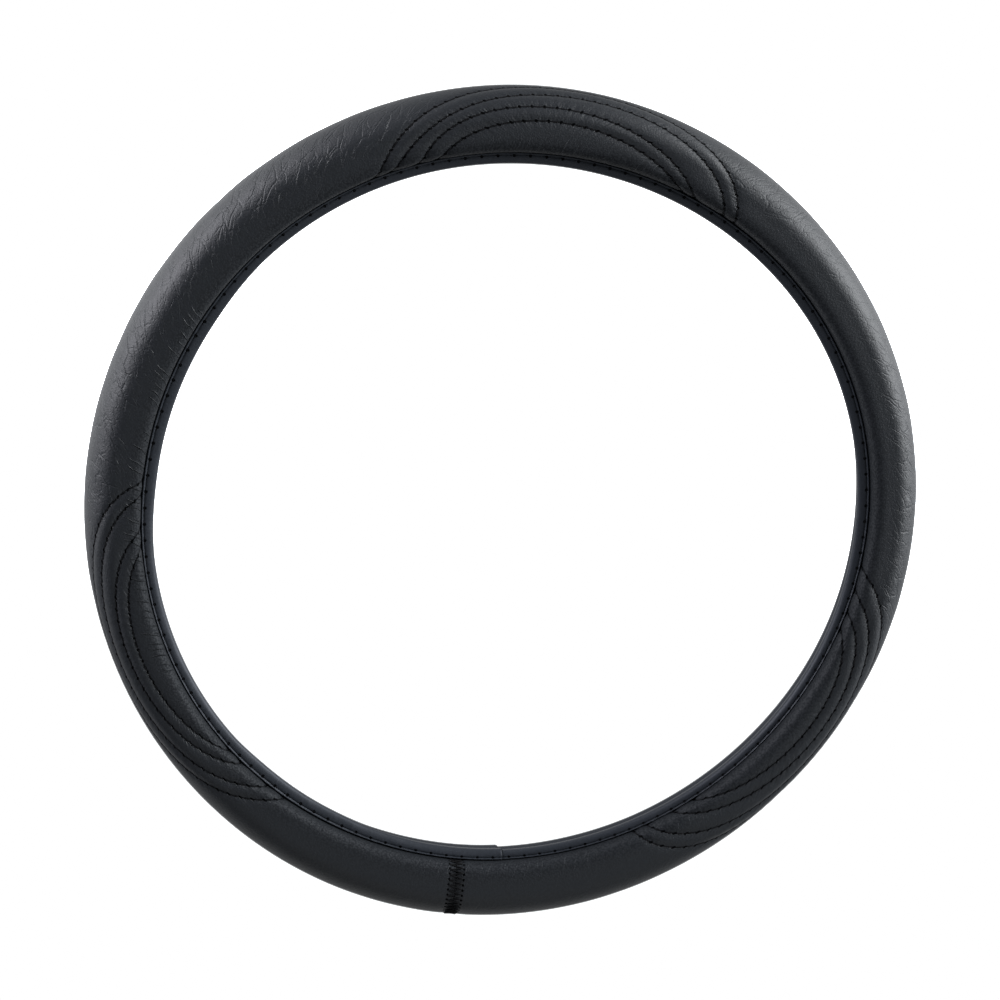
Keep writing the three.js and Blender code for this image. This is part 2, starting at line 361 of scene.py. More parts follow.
def strand(length, radius, sides, steps, tilt=0.0, middle=(0, 0, 0)):
    # one stitch of thread, laid flat along X
    bm = bmesh.new()
    bmesh.ops.create_circle(bm, segments=sides, radius=radius, cap_ends=True)
    bmesh.ops.rotate(bm, verts=bm.verts, cent=(0, 0, 0), matrix=Matrix.Rotation(math.pi / 2, 3, "Y"))
    bmesh.ops.translate(bm, verts=bm.verts, vec=(-length / 2, 0, 0))
    bmesh.ops.spin(
        bm, geom=bm.verts[:] + bm.edges[:] + bm.faces[:], cent=(0, 0, 0), axis=(1, 0, 0),
        dvec=(length / steps, 0, 0), angle=0, steps=steps,
    )
    bmesh.ops.transform(bm, matrix=Matrix.Translation(middle) @ Matrix.Rotation(tilt, 4, "Z"), verts=bm.verts)
    return bm


def repeat(bm, count, step):
    # copies in a line along the step, doubled until there are enough, and the last ones cut off
    made, each = 1, len(bm.verts)
    while made < count:
        copied = bmesh.ops.duplicate(bm, geom=bm.verts[:] + bm.edges[:] + bm.faces[:])["geom"]
        moved = [item for item in copied if isinstance(item, bmesh.types.BMVert)]
        bmesh.ops.translate(bm, verts=moved, vec=Vector(step) * made)
        made *= 2
    bmesh.ops.delete(bm, geom=bm.verts[count * each:], context="VERTS")


def makePiece(name, bm, bend, material, sharp=60):
    # bend takes the flat x, y and z of every vertex and returns its place
    mesh = bpy.data.meshes.new(name)
    bm.to_mesh(mesh)
    bm.free()
    flat = np.empty(len(mesh.vertices) * 3, np.float32)
    mesh.vertices.foreach_get("co", flat)
    flat = flat.reshape(-1, 3).astype(float)
    mesh.vertices.foreach_set("co", bend(*flat.T).astype(np.float32).ravel())
    bm = bmesh.new()
    bm.from_mesh(mesh)
    bmesh.ops.recalc_face_normals(bm, faces=bm.faces)
    bm.to_mesh(mesh)
    bm.free()
    mesh.materials.append(material)
    mesh.shade_smooth()
    mesh.set_sharp_from_angle(angle=math.radians(sharp))
    piece = bpy.data.objects.new(name, mesh)
    bpy.context.scene.collection.objects.link(piece)
    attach(piece, "root")
    return piece, flat


def addValues(piece, name, values):
    layer = piece.data.attributes.new(name, "FLOAT", "POINT")
    layer.data.foreach_set("value", values.astype(np.float32))


# Shader helpers

def put(tree, kind, values=None, **settings):
    node = tree.nodes.new(kind)
    for key, value in settings.items():
        setattr(node, key, value)
    for key, value in (values or {}).items():
        if isinstance(value, bpy.types.NodeSocket):
            tree.links.new(value, node.inputs[key])
        else:
            node.inputs[key].default_value = value
    return node


def calc(tree, operation, *values):
    return put(tree, "ShaderNodeMath", dict(enumerate(values)), operation=operation).outputs[0]


def fade(tree, value, low, high, fromLow=0.0, fromHigh=1.0):
    return put(
        tree, "ShaderNodeMapRange",
        {"Value": value, "From Min": low, "From Max": high, "To Min": fromLow, "To Max": fromHigh},
        interpolation_type="SMOOTHSTEP",
    ).outputs[0]


def newGroup(name, inputs, outputs):
    group = bpy.data.node_groups.new(name, "ShaderNodeTree")
    for title, start in inputs.items():
        kind = "NodeSocketVector" if start is None else "NodeSocketFloat"
        socket = group.interface.new_socket(title, in_out="INPUT", socket_type=kind)
        if start is not None:
            socket.default_value = start
    for title in outputs:
        group.interface.new_socket(title, in_out="OUTPUT", socket_type="NodeSocketFloat")
    return group, put(group, "NodeGroupInput").outputs, put(group, "NodeGroupOutput").inputs


def placed(tree, group, **values):
    return put(tree, "ShaderNodeGroup", values, node_tree=group).outputs


def noiseAt(tree, place, scale, detail):
    return put(tree, "ShaderNodeTexNoise", {"Vector": place, "Scale": scale, "Detail": detail}).outputs


def vectors(tree, operation, first, second):
    node = put(tree, "ShaderNodeVectorMath", {0: first, 1: second}, operation=operation)
    return node.outputs[0]


def grainGroup():
    # fine pebbled grain, in millimetres; Height is how far it stands proud
    start = {"Place": None, "Cell": 1.0, "Rise": 0.05}
    tree, taken, given = newGroup("leatherGrain", start, ["Height", "Tone"])
    inCells = put(tree, "ShaderNodeVectorMath", {0: taken["Place"]}, operation="SCALE")
    tree.links.new(calc(tree, "DIVIDE", 1000.0, taken["Cell"]), inCells.inputs["Scale"])
    wander = noiseAt(tree, inCells.outputs[0], 0.7, 2.0)
    bent = vectors(tree, "ADD", inCells.outputs[0], wander["Color"])
    cells = put(
        tree, "ShaderNodeTexVoronoi", {"Vector": bent, "Scale": 1.0, "Smoothness": 0.35},
        feature="SMOOTH_F1",
    )
    pebble = fade(tree, cells.outputs["Distance"], 0.75, 0.1)
    pores = noiseAt(tree, inCells.outputs[0], 3.1, 3.0)
    height = calc(tree, "ADD", pebble, calc(tree, "MULTIPLY", pores["Fac"], 0.6))
    tree.links.new(calc(tree, "MULTIPLY", height, taken["Rise"]), given["Height"])
    tree.links.new(fade(tree, pebble, 0.0, 0.5, 0.82, 1.0), given["Tone"])
    return tree


def stitchGroup():
    # one row of stitches: a sharp furrow, a hole at every pitch and small puckers beside them; its Shade is
    # painted shade, darkest in the holes and along the furrow
    start = {"Across": 8.0, "Along": 0.0, "Pitch": 5.5, "Line": 1.0, "Hole": 1.0, "Puckers": 0.6}
    tree, taken, given = newGroup("stitchPull", start, ["Height", "Shade"])
    away = calc(tree, "ABSOLUTE", taken["Across"])
    phase = calc(tree, "FRACT", calc(tree, "DIVIDE", taken["Along"], taken["Pitch"]))
    fromHole = calc(tree, "ABSOLUTE", calc(tree, "SUBTRACT", phase, 0.5))
    fromHole = calc(tree, "MULTIPLY", fromHole, taken["Pitch"])
    squares = [calc(tree, "MULTIPLY", length, length) for length in (away, fromHole)]
    fromCentre = calc(tree, "DIVIDE", calc(tree, "SQRT", calc(tree, "ADD", *squares)), taken["Hole"])
    hole = fade(tree, fromCentre, 1.0, 0.4)
    crease = calc(tree, "MULTIPLY", fade(tree, away, 0.5, 0.05), taken["Line"])
    travel = put(tree, "ShaderNodeCombineXYZ", {
        "X": calc(tree, "DIVIDE", taken["Along"], 1.5), "Y": calc(tree, "DIVIDE", taken["Across"], 6.0),
    })
    folds = noiseAt(tree, travel.outputs[0], 1.0, 1.0)
    pucker = calc(tree, "SUBTRACT", folds["Fac"], 0.5)
    pucker = calc(tree, "MULTIPLY", pucker, fade(tree, away, 4.2, 0.4))
    height = calc(tree, "MULTIPLY", calc(tree, "MULTIPLY", pucker, taken["Puckers"]), 0.5)
    height = calc(tree, "SUBTRACT", height, calc(tree, "MULTIPLY", crease, 0.2))
    height = calc(tree, "SUBTRACT", height, calc(tree, "MULTIPLY", hole, 0.12))
    tree.links.new(height, given["Height"])
    # painted shade: the furrow's line and each hole are darkened
    dark = calc(tree, "MAXIMUM", calc(tree, "MULTIPLY", crease, 0.62), hole)
    tree.links.new(calc(tree, "SUBTRACT", 1.0, dark), given["Shade"])
    return tree


fine = {
    "size": 5.8,
    "stretch": 2.5,
    "turn": 0.8,  # radians from straight across the strip
    "wander": 0.42,
    "folds": 0.42,
    "nets": ((1.0, 0.06, 0.15, 0.4), (2.1, 0.09, 0.11, 0.43)),  # scale, width, depth, where patches begin
}


def creaseGroup():
    # a broken net of fine creases with soft folds between, on a sheet given in millimetres
    start = {"Sheet": None, "Size": fine["size"], "Stretch": fine["stretch"]}
    tree, taken, given = newGroup("fineCreases", start, ["Height"])
    size = put(tree, "ShaderNodeCombineXYZ", {
        "X": calc(tree, "DIVIDE", 1.0, taken["Size"]),
        "Y": calc(tree, "DIVIDE", 1.0, calc(tree, "MULTIPLY", taken["Size"], taken["Stretch"])),
    })
    turned = put(
        tree, "ShaderNodeVectorRotate", {"Vector": taken["Sheet"], "Angle": fine["turn"]},
        rotation_type="Z_AXIS",
    )
    spot = vectors(tree, "MULTIPLY", turned.outputs[0], size.outputs[0])
    wander = noiseAt(tree, spot, 1.3, 2.5)
    bent = put(
        tree, "ShaderNodeVectorMath", {0: wander["Color"], "Scale": fine["wander"]}, operation="SCALE",
    )
    moved = vectors(tree, "ADD", spot, bent.outputs[0])
    height = 0.0
    for scale, width, depth, low in fine["nets"]:
        net = put(
            tree, "ShaderNodeTexVoronoi", {"Vector": moved, "Scale": scale}, feature="DISTANCE_TO_EDGE",
        )
        line = fade(tree, net.outputs["Distance"], width, 0.0)
        patches = noiseAt(tree, spot, scale * 0.8, 2.0)
        shown = fade(tree, patches["Fac"], low, low + 0.13)
        cut = calc(tree, "MULTIPLY", calc(tree, "MULTIPLY", line, shown), -depth)
        height = calc(tree, "ADD", height, cut)
    folds = noiseAt(tree, moved, 0.9, 4.0)
    height = calc(tree, "ADD", height, calc(tree, "MULTIPLY", folds["Fac"], fine["folds"]))
    tree.links.new(height, given["Height"])
    return tree


def tuckGroup():
    # short pulled strokes that stand off the hem, unevenly spaced round the ring
    start = {"Round": 0.0, "FromHem": 0.0, "Spacing": 3.4, "From": 5.0, "Reach": 15.0}
    tree, taken, given = newGroup("hemTucks", start, ["Height"])
    sheet = put(tree, "ShaderNodeCombineXYZ", {
        "X": calc(tree, "DIVIDE", taken["Round"], 9.0), "Y": calc(tree, "DIVIDE", taken["FromHem"], 7.0),
    })
    sway = noiseAt(tree, sheet.outputs[0], 1.0, 1.0)
    slanted = calc(tree, "ADD", taken["Round"], calc(tree, "MULTIPLY", taken["FromHem"], -0.45))
    swayed = calc(tree, "ADD", calc(tree, "DIVIDE", slanted, taken["Spacing"]), sway["Fac"])
    strokes = put(
        tree, "ShaderNodeTexVoronoi", {"W": swayed, "Scale": 1.0, "Randomness": 1.0},
        voronoi_dimensions="1D", feature="F1",
    )
    line = fade(tree, strokes.outputs["Distance"], 0.1, 0.0)
    chance = put(tree, "ShaderNodeSeparateColor", {"Color": strokes.outputs["Color"]})
    reach = calc(tree, "MULTIPLY", taken["Reach"], fade(tree, chance.outputs[0], 0.0, 1.0, 0.45, 1.0))
    within = calc(tree, "DIVIDE", taken["FromHem"], reach)
    begun = fade(tree, calc(tree, "DIVIDE", taken["FromHem"], taken["From"]), 0.5, 1.2)
    shown = calc(tree, "MULTIPLY", fade(tree, within, 1.0, 0.7), begun)
    tree.links.new(calc(tree, "MULTIPLY", line, shown), given["Height"])
    return tree


grain = grainGroup()
stitchPull = stitchGroup()
fineCreases = creaseGroup()
hemTucks = tuckGroup()


def newMaterial(name):
    material = bpy.data.materials.new(name)
    material.use_nodes = True
    tree = material.node_tree
    tree.nodes.clear()
    shader = put(tree, "ShaderNodeBsdfPrincipled")
    put(tree, "ShaderNodeOutputMaterial", {"Surface": shader.outputs[0]})
    return material, tree, shader


def value(tree, name):
    return put(tree, "ShaderNodeAttribute", attribute_name=name).outputs["Fac"]


def relieved(tree, shader, height):
    # height is in millimetres
    bump = put(tree, "ShaderNodeBump", {"Height": height, "Distance": mm, "Strength": 1.0})
    tree.links.new(bump.outputs[0], shader.inputs["Normal"])


def tinted(tree, shader, base, shade):
    # shade pulls the base colour towards near black: painted shade at stitch furrows, stitch holes and the
    # tape's cut end, and the real tone of grain, rubber dust and thread twist
    dark = put(tree, "ShaderNodeMix", {6: (0.001, 0.001, 0.0012, 1), 7: base, 0: shade}, data_type="RGBA")
    tree.links.new(dark.outputs[2], shader.inputs["Base Color"])


# Outer skin

skin = {
    "thickness": 2.2,
    "atLip": 1.0,
    "finePitch": 0.8,  # between the rows of vertices over the front
    "coarsePitch": 2.6,
    "innerPitch": 5.0,
    "frontEnd": 40.0,
    "panelStep": 0.32,  # degrees between the vertices along a panel
    "plainStep": 0.6,
    "joinStep": 0.16,
    "joinReach": 2.4,
}


def paintShadeInReflection(tree, shader, roughness, specular, shade):
    # painted shade in the reflection: holes, seams, the tape's cut end and the band by the front hem give
    # little or no glint, as a metal's reflection takes its colour, and theirs is near black
    darkest, lightest, inHoles = 0.2, 0.9, 0.9
    for title, plain in (("Roughness", roughness), ("Metallic", 0.0)):
        tree.links.new(fade(tree, shade, darkest, lightest, inHoles, plain), shader.inputs[title])
    shader.inputs["Specular IOR Level"].default_value = specular


leather = {
    "color": (0.0046, 0.0070, 0.0106, 1),
    "roughness": 0.56,
    "specular": 0.5,
    "cell": 0.9,
    "grainRise": 0.048,
    # painted shade beside the front hem fades out between these two distances
    "hemShadeFadesOut": (7.0, 16.0),  # from the front hem
    "hemShadeLevel": 0.62,
    "joinHole": 0.75,
}


def leatheretteMaterial():
    material, tree, shader = newMaterial("leatherette")
    spot = put(tree, "ShaderNodeTexCoord").outputs["Object"]
    pebbles = placed(tree, grain, Place=spot, Cell=leather["cell"], Rise=leather["grainRise"])
    height, shade = pebbles["Height"], pebbles["Tone"]
    rows = [
        (value(tree, f"across{row}"), value(tree, f"along{row}"), quilt["pitch"], 1.0, 1.0)
        for row in range(4)
    ]
    joinHoles = value(tree, "fromJoinHoles")
    rows.append((joinHoles, value(tree, "fromHem"), join["pitch"], 0.0, leather["joinHole"]))
    # each row of stitches bumps the skin and paints shade into its furrow and holes
    for across, along, pitch, line, hole in rows:
        pull = placed(tree, stitchPull, Across=across, Along=along, Pitch=pitch, Line=line, Hole=hole)
        height = calc(tree, "ADD", height, pull["Height"])
        shade = calc(tree, "MULTIPLY", shade, pull["Shade"])
    mmRound, fromHem = value(tree, "roundMm"), value(tree, "fromHem")
    sheet = put(tree, "ShaderNodeCombineXYZ", {"X": mmRound, "Y": fromHem})
    net = placed(tree, fineCreases, Sheet=sheet.outputs[0])
    height = calc(tree, "ADD", height, calc(tree, "MULTIPLY", net["Height"], value(tree, "creasing")))
    tucks = placed(tree, hemTucks, Round=mmRound, FromHem=fromHem)
    height = calc(tree, "ADD", height, calc(tree, "MULTIPLY", tucks["Height"], value(tree, "hemTuck")))
    relieved(tree, shader, height)
    tinted(tree, shader, leather["color"], shade)
    # painted shade: the band beside the front hem loses part of its reflection and diffuse colour; the
    # grain's tone and the stitches' painted shade join it
    hemShadeMask = fade(tree, fromHem, *leather["hemShadeFadesOut"], leather["hemShadeLevel"], 1.0)
    reflectionToneAndShade = calc(tree, "MULTIPLY", shade, hemShadeMask)
    paintShadeInReflection(tree, shader, leather["roughness"], leather["specular"], reflectionToneAndShade)
    return material


leatherette = leatheretteMaterial()


def skinPlaces():
    # close together on the panels and beside the join, further apart between them
    marks = [(0, skin["joinStep"]), (skin["joinReach"], skin["plainStep"])]
    starts = (arches["middle"][:, 0] - ring["joinAngle"]) % 360
    for middle, half in sorted(zip(starts, arches["half"][:, 0])):
        marks += [(middle - half - 2, skin["panelStep"]), (middle + half + 2, skin["plainStep"])]
    marks += [(360 - skin["joinReach"], skin["joinStep"]), (360, 0)]
    places = [
        np.linspace(a, b, round((b - a) / step), endpoint=False)
        for (a, step), (b, _) in zip(marks, marks[1:])
    ]
    return [*np.concatenate(places), 360.0]


def makeSkin():
    flapEnd = ring["flap"] + ring["turn"]
    front = np.arange(-flapEnd, skin["frontEnd"], skin["finePitch"])
    back = np.arange(skin["frontEnd"], faceEnd + flapEnd, skin["coarsePitch"])
    inner = np.arange(faceEnd + flapEnd, -flapEnd, -skin["innerPitch"])
    face = [(y, 0) for y in (*front, *back, faceEnd + flapEnd)]
    bm = sweep(skinPlaces(), [*face, *((y, -1) for y in (*inner, -flapEnd))])

    def bend(x, y, z):
        starts, ends = 1 - smooth(x, 0, 6), smooth(x, 354, 360)
        gap = np.degrees(join["gap"] / 2 / skinRadius(y))
        slant = joinAt(y) - ring["joinAngle"]
        angle = ring["joinAngle"] + x + slant * (starts + ends) + gap * (starts - ends)
        toHem = np.minimum(y, faceEnd - y)
        wall = skin["atLip"] + (skin["thickness"] - skin["atLip"]) * smooth(toHem, 0, 5)
        return onSkin(angle, y, relief(angle, y) * (toHem > -0.5) * (1 + 0.6 * z) + z * wall)

    piece, flat = makePiece("quiltedSkin", bm, bend, leatherette)
    angle, fromHem = ring["joinAngle"] + flat[:, 0], flat[:, 1]
    across, along = archPlaces(angle, fromHem)
    for row in range(4):
        addValues(piece, f"across{row}", across[row])
        addValues(piece, f"along{row}", along[row])
    addValues(piece, "roundMm", np.radians(angle) * ring["roundCentre"])
    addValues(piece, "fromHem", fromHem)
    fromJoin = np.radians(around(flat[:, 0], 0)) * skinRadius(fromHem)
    addValues(piece, "fromJoinHoles", np.minimum(np.abs(fromJoin) - join["halfWidth"], quilt["farthest"]))
    quiet = 1 - creases["fineLost"] * smooth(-across[0], -1, 3)
    front = smooth(fromHem, *creases["fineBegin"])
    creased = regionShare(angle, creases["regions"]) * front * quiet
    addValues(piece, "creasing", np.maximum(creased, creases["fineLeast"]))
    addValues(piece, "hemTuck", creases["tuckShare"] * regionShare(angle, creases["hemPuckers"]))
    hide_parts("outer_skin")
    return piece


quiltedSkin = makeSkin()
print("skin made:", len(quiltedSkin.data.polygons), "faces")


# Rubber ring inside the skin

rubber = {
    "outside": 2.5,  # depths below the skin's face
    "inside": 4.3,
    "lipOutside": 1.3,
    "lipInside": 3.1,
    "short": 0.6,  # of the skin's flaps
    "ribs": (-16, 0, 16),  # from the middle of the section
    "rib": 0.7,
    "ribWidth": 1.1,
    "color": (0.012, 0.012, 0.0125, 1),
    "roughness": 0.75,
}


def rubberMaterial():
    material, tree, shader = newMaterial("mouldedRubber")
    spot = put(tree, "ShaderNodeTexCoord").outputs["Object"]
    dust = noiseAt(tree, spot, 700.0, 3.0)
    relieved(tree, shader, calc(tree, "MULTIPLY", dust["Fac"], 0.04))
    tinted(tree, shader, rubber["color"], fade(tree, dust["Fac"], 0.3, 0.7, 0.7, 1.0))
    shader.inputs["Roughness"].default_value = rubber["roughness"]
    return material


mouldedRubber = rubberMaterial()


def makeRubber():
    start, end = -ring["flap"] + rubber["short"], faceEnd + ring["flap"] - rubber["short"]
    outside = [(y, 0) for y in np.linspace(start, end, 60)]
    inside = [(y, -1) for y in np.linspace(end, start, 110)]
    bm = sweep(np.linspace(0, 360, 241), [*outside, *inside])

    def bend(x, y, z):
        toHem = np.minimum(y, faceEnd - y)
        deep = smooth(toHem, 0, 6)
        outside = rubber["lipOutside"] + (rubber["outside"] - rubber["lipOutside"]) * deep
        inside = rubber["lipInside"] + (rubber["inside"] - rubber["lipInside"]) * deep
        ribs = sum(np.exp(-((y - faceEnd / 2 - rib) / rubber["ribWidth"]) ** 4) for rib in rubber["ribs"])
        depth = np.where(z < -0.5, inside + rubber["rib"] * ribs, outside)
        return onSkin(x, y, -depth)

    piece, _ = makePiece("rubberGripRing", bm, bend, mouldedRubber)
    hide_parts("rubber_grip_ring")


makeRubber()
print("rubber ring made")


# Binding tape

tape = {
    "start": 189.4,  # the hidden start, clockwise from the top
    "turns": 368.0,  # degrees, so the end laps over the start
    "riseFrom": 330,
    "riseTo": 360,
    "step": 0.8,  # from a layer to the one that lies on it
    "endLength": 0.45,  # degrees over which the cut end rounds off
    "endRound": 0.45,
    "groove": 1.0,
    "grooveWidth": 0.5,
    "stitchDip": 0.1,
    "holes": 1.3,
    "pitch": 7.35,
    "waviness": 0.12,
    "raised": [(186, 24, 1)],  # where the tape stands off its lip: angle, half width and share
    "raise": 0.08,  # for each millimetre from the hem
    "color": (0.0140, 0.0170, 0.0220, 1),
    "roughness": 0.52,
    "specular": 0.38,
    "specularTint": (0.86, 0.9, 1, 1),
}
tape["endFrom"] = tape["turns"] - tape["endLength"]


def tapeMaterial():
    material, tree, shader = newMaterial("bindingVinyl")
    spot = put(tree, "ShaderNodeTexCoord").outputs["Object"]
    pebbles = placed(tree, grain, Place=spot, Cell=0.8, Rise=0.01)
    wander = noiseAt(tree, spot, 130.0, 2.0)
    height = calc(tree, "ADD", pebbles["Height"], calc(tree, "MULTIPLY", wander["Fac"], 0.15))
    pull = placed(
        tree, stitchPull, Across=value(tree, "fromHoles"), Along=value(tree, "roundMm"),
        Pitch=tape["pitch"], Line=0.0, Hole=1.0, Puckers=0.3,
    )
    relieved(tree, shader, calc(tree, "ADD", height, pull["Height"]))
    # painted shade at the stitch holes and towards the lap's cut end
    shade = calc(tree, "MULTIPLY", pull["Shade"], value(tree, "lapShade"))
    tinted(tree, shader, tape["color"], calc(tree, "MULTIPLY", pebbles["Tone"], shade))
    paintShadeInReflection(tree, shader, tape["roughness"], tape["specular"], shade)
    shader.inputs["Specular Tint"].default_value = tape["specularTint"]
    return material


bindingVinyl = tapeMaterial()


def tapeOutline():
    # outside from the folded edge at the hem over the lip and round behind it, then back along the inside
    outside = [
        (0.0, 0.4), (-0.08, 0.8), (0.03, 1.1), (0.25, 1.24), (0.5, 1.2), (0.68, 1.04), (0.82, 0.86),
        (0.93, 0.77), (1.07, 0.77), (1.2, 0.86), (1.36, 0.94), (1.65, 1.04), (2.1, 1.09), (2.8, 1.1),
        (3.5, 1.04), (4.1, 0.92), (4.6, 0.73), (5.05, 0.44), (5.4, 0.02), (5.6, -0.5), (5.68, -1.2),
        (5.65, -2.9), (5.5, -3.6), (5.1, -4.1),
        (4.5, -4.3), (2.2, -4.3), (1.0, -4.25),
    ]
    inside = [(1.0, -3.45), (4.65, -3.4), (4.7, -0.9), (3.6, 0.1), (0.3, 0.28)]
    return [*outside, *inside]


def tapeBend(side):
    def bend(x, y, z):
        lifted = tape["step"] * smooth(x, tape["riseFrom"], tape["riseTo"])
        lifted = lifted - tape["endRound"] * smooth(x, tape["endFrom"], tape["turns"]) ** 2
        # the lap lies outside the layer below it, so what is behind the lip moves the other way
        lift = z + np.where(z > -1.6, lifted, -lifted)
        reach = y + lifted * smooth(y, 3.8, 5.2)
        travel = np.radians(x) * ring["hemRadius"]
        top = smooth(z, 0.3, 0.7)
        beat = np.cos(2 * math.pi * travel / tape["pitch"])
        groove = np.exp(-((y - tape["groove"]) / tape["grooveWidth"]) ** 2)
        lift = lift - top * groove * tape["stitchDip"] * beat
        uneven = ripple(travel / 9, y / 5, seed=1.3)
        lift = lift + top * smooth(y, 2, 3.4) * tape["waviness"] * uneven
        lift = lift + tape["raise"] * y * regionShare(tape["start"] - x, tape["raised"])
        radius, height = lipPlace(side, reach, lift)
        return onRing(tape["start"] - x, radius, height)
    return bend


def makeTape(name, side, node):
    plain = np.linspace(0, tape["riseFrom"], 530, endpoint=False)
    lapped = np.linspace(tape["riseFrom"], tape["endFrom"], 70, endpoint=False)
    end = np.linspace(tape["endFrom"], tape["turns"], 7)
    bm = sweep([*plain, *lapped, *end], tapeOutline())
    piece, flat = makePiece(name, bm, tapeBend(side), bindingVinyl, sharp=50)
    onFace = flat[:, 2] > 0.3
    addValues(piece, "fromHoles", np.where(onFace, flat[:, 1] - tape["holes"], quilt["farthest"]))
    addValues(piece, "roundMm", np.radians(flat[:, 0]) * ring["hemRadius"])
    # painted shade: the lap darkens towards its cut end, and the cut end itself is painted darkest
    toEnd = tape["turns"] - flat[:, 0]
    shaded = 1 - 0.5 * smooth(-toEnd, -0.4, -0.1)
    addValues(piece, "lapShade", np.where(toEnd < 0.05, 0.1, shaded))  # the cut end is darkest
    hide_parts(node)


makeTape("frontLipTape", 1, "front_lip_tape")
makeTape("backLipTape", -1, "back_lip_tape")
print("tapes made")


# Threads

thread = {
    "quiltRadius": 0.21,
    "hemRadius": 0.15,
    "joinRadius": 0.27,
    "quiltLift": 0.12,
    "hemLift": 0.9,
    "joinLift": 0.3,
    "joinStart": 1.6,  # from the front hem
    "share": 0.8,  # of the pitch that a stitch shows
    "dip": 0.6,
    "sides": 6,
    "color": (0.004, 0.004, 0.005, 1),
    "roughness": 0.8,
    "specular": 0.15,
}


def threadMaterial():
    material, tree, shader = newMaterial("sewingThread")
    spot = put(tree, "ShaderNodeTexCoord").outputs["Object"]
    twist = noiseAt(tree, spot, 2200.0, 1.0)
    relieved(tree, shader, calc(tree, "MULTIPLY", twist["Fac"], 0.05))
    tinted(tree, shader, thread["color"], fade(tree, twist["Fac"], 0.3, 0.6, 0.4, 1.0))
    shader.inputs["Roughness"].default_value = thread["roughness"]
    shader.inputs["Specular IOR Level"].default_value = thread["specular"]
    return material


sewingThread = threadMaterial()


def arched(x, length):
    # how high a strand lies: flat on its surface, and down into the hole at both ends
    return -thread["dip"] * np.abs(2 * x / length) ** 5


def makeQuiltThread():
    # every row's stitches lie in one long line until they are bent
    lanes = [(panel, row) for panel in range(3) for row in range(4)]
    counts = [int(archTables[panel][row][1][-1] / quilt["pitch"]) for panel, row in lanes]
    firsts = np.cumsum([0, *counts])
    length = quilt["pitch"] * thread["share"]
    bm = strand(length, thread["quiltRadius"], thread["sides"], 5)
    repeat(bm, firsts[-1], (quilt["pitch"], 0, 0))

    def bend(x, y, z):
        stitch = np.round(x / quilt["pitch"]).astype(int)
        fromMiddle = x - stitch * quilt["pitch"]
        lane = np.searchsorted(firsts, stitch, side="right") - 1
        # the holes lie at half pitches and the middle of each stitch at a whole one
        travel = (stitch - firsts[lane] + 1) * quilt["pitch"] + fromMiddle
        angle, fromHem = np.zeros_like(x), np.zeros_like(x)
        for number, (panel, row) in enumerate(lanes):
            mine = lane == number
            turns, travels = archTables[panel][row]
            here, ahead = (
                archPoint(panel, row, np.interp(travel[mine] + further, travels, turns))
                for further in (0, 0.5)
            )
            radius = skinRadius(here[1])
            run, climb = np.radians(ahead[0] - here[0]) * radius, ahead[1] - here[1]
            size = np.maximum(np.hypot(run, climb), 1e-6)
            angle[mine] = here[0] - np.degrees(y[mine] * climb / size / radius)
            fromHem[mine] = here[1] + y[mine] * run / size
        lift = relief(angle, fromHem) + z + thread["quiltLift"] + arched(fromMiddle, length)
        return onSkin(angle, fromHem, lift)

    makePiece("quiltThread", bm, bend, sewingThread)


def makeHemThread(name, side):
    count = int(math.radians(tape["turns"] - 1) * ring["hemRadius"] / tape["pitch"])
    length = tape["pitch"] * thread["share"]
    bm = strand(length, thread["hemRadius"], thread["sides"], 5, middle=(tape["pitch"] / 2, 0, 0))
    repeat(bm, count, (tape["pitch"], 0, 0))

    def bend(x, y, z):
        turn = np.degrees(x / ring["hemRadius"])
        lifted = tape["step"] * smooth(turn, tape["riseFrom"], tape["riseTo"])
        lift = thread["hemLift"] + z + arched(x % tape["pitch"] - tape["pitch"] / 2, length)
        radius, height = lipPlace(side, tape["holes"] + y, lift + lifted)
        return onRing(tape["start"] - turn, radius, height)

    makePiece(name, bm, bend, sewingThread)


def makeJoinThread():
    # a zigzag of legs, two to a pitch, round the whole section
    pitch, width = join["pitch"], 2 * join["halfWidth"]
    length, slant = math.hypot(width, pitch / 2), math.atan2(pitch / 2, width)
    bm = strand(length, thread["joinRadius"], thread["sides"], 8, -slant, (0, pitch / 4, 0))
    other = bpy.data.meshes.new("leg")
    leg = strand(length, thread["joinRadius"], thread["sides"], 8, slant, (0, 3 * pitch / 4, 0))
    leg.to_mesh(other)
    leg.free()
    bm.from_mesh(other)
    bpy.data.meshes.remove(other)
    repeat(bm, int((faceEnd - 3) / pitch), (0, pitch, 0))

    def bend(x, y, z):
        fromHem = y + thread["joinStart"]
        angle = joinAt(fromHem) + np.degrees(x / skinRadius(fromHem))
        dip = -thread["dip"] * np.abs(x / join["halfWidth"]) ** 8
        return onSkin(angle, fromHem, relief(angle, fromHem) + z + thread["joinLift"] + dip)

    makePiece("joinThread", bm, bend, sewingThread)


makeQuiltThread()
makeHemThread("frontHemThread", 1)
makeHemThread("backHemThread", -1)
makeJoinThread()
print("threads made")


# Floor, lights and camera

studio = {
    "floorGlow": (0.66, 0.665, 0.67, 1),
    # painted pools of light: the floor's glow is raised round a spot beside each lamp, and that glow lights
    # the ring's rim from there
    "paintedPools": [((0.225, 0.11), 2.1), ((-0.22, 0.15), 2.5)],  # place of each lamp's pool and its gain
    "paintedPoolReach": 0.23,
    "worldColor": (0.86, 0.94, 1, 1),
    "world": 0.085,
    "whiteFrom": 0.47,  # the floor's glow is lifted to white above this
    "lights": [
        # name, place in metres, width and height, watts, colour
        ("rightBox", (1.4, 0.44, 0.37), (1.3, 0.78), 52, (0.96, 0.98, 1)),
        ("leftBox", (-1.35, 0.85, 0.24), (1.2, 0.48), 38, (0.95, 0.94, 1)),
        ("frontFill", (0.1, -1.3, 1.2), (1.2, 1.2), 4.5, (0.97, 0.98, 1)),
    ],
}


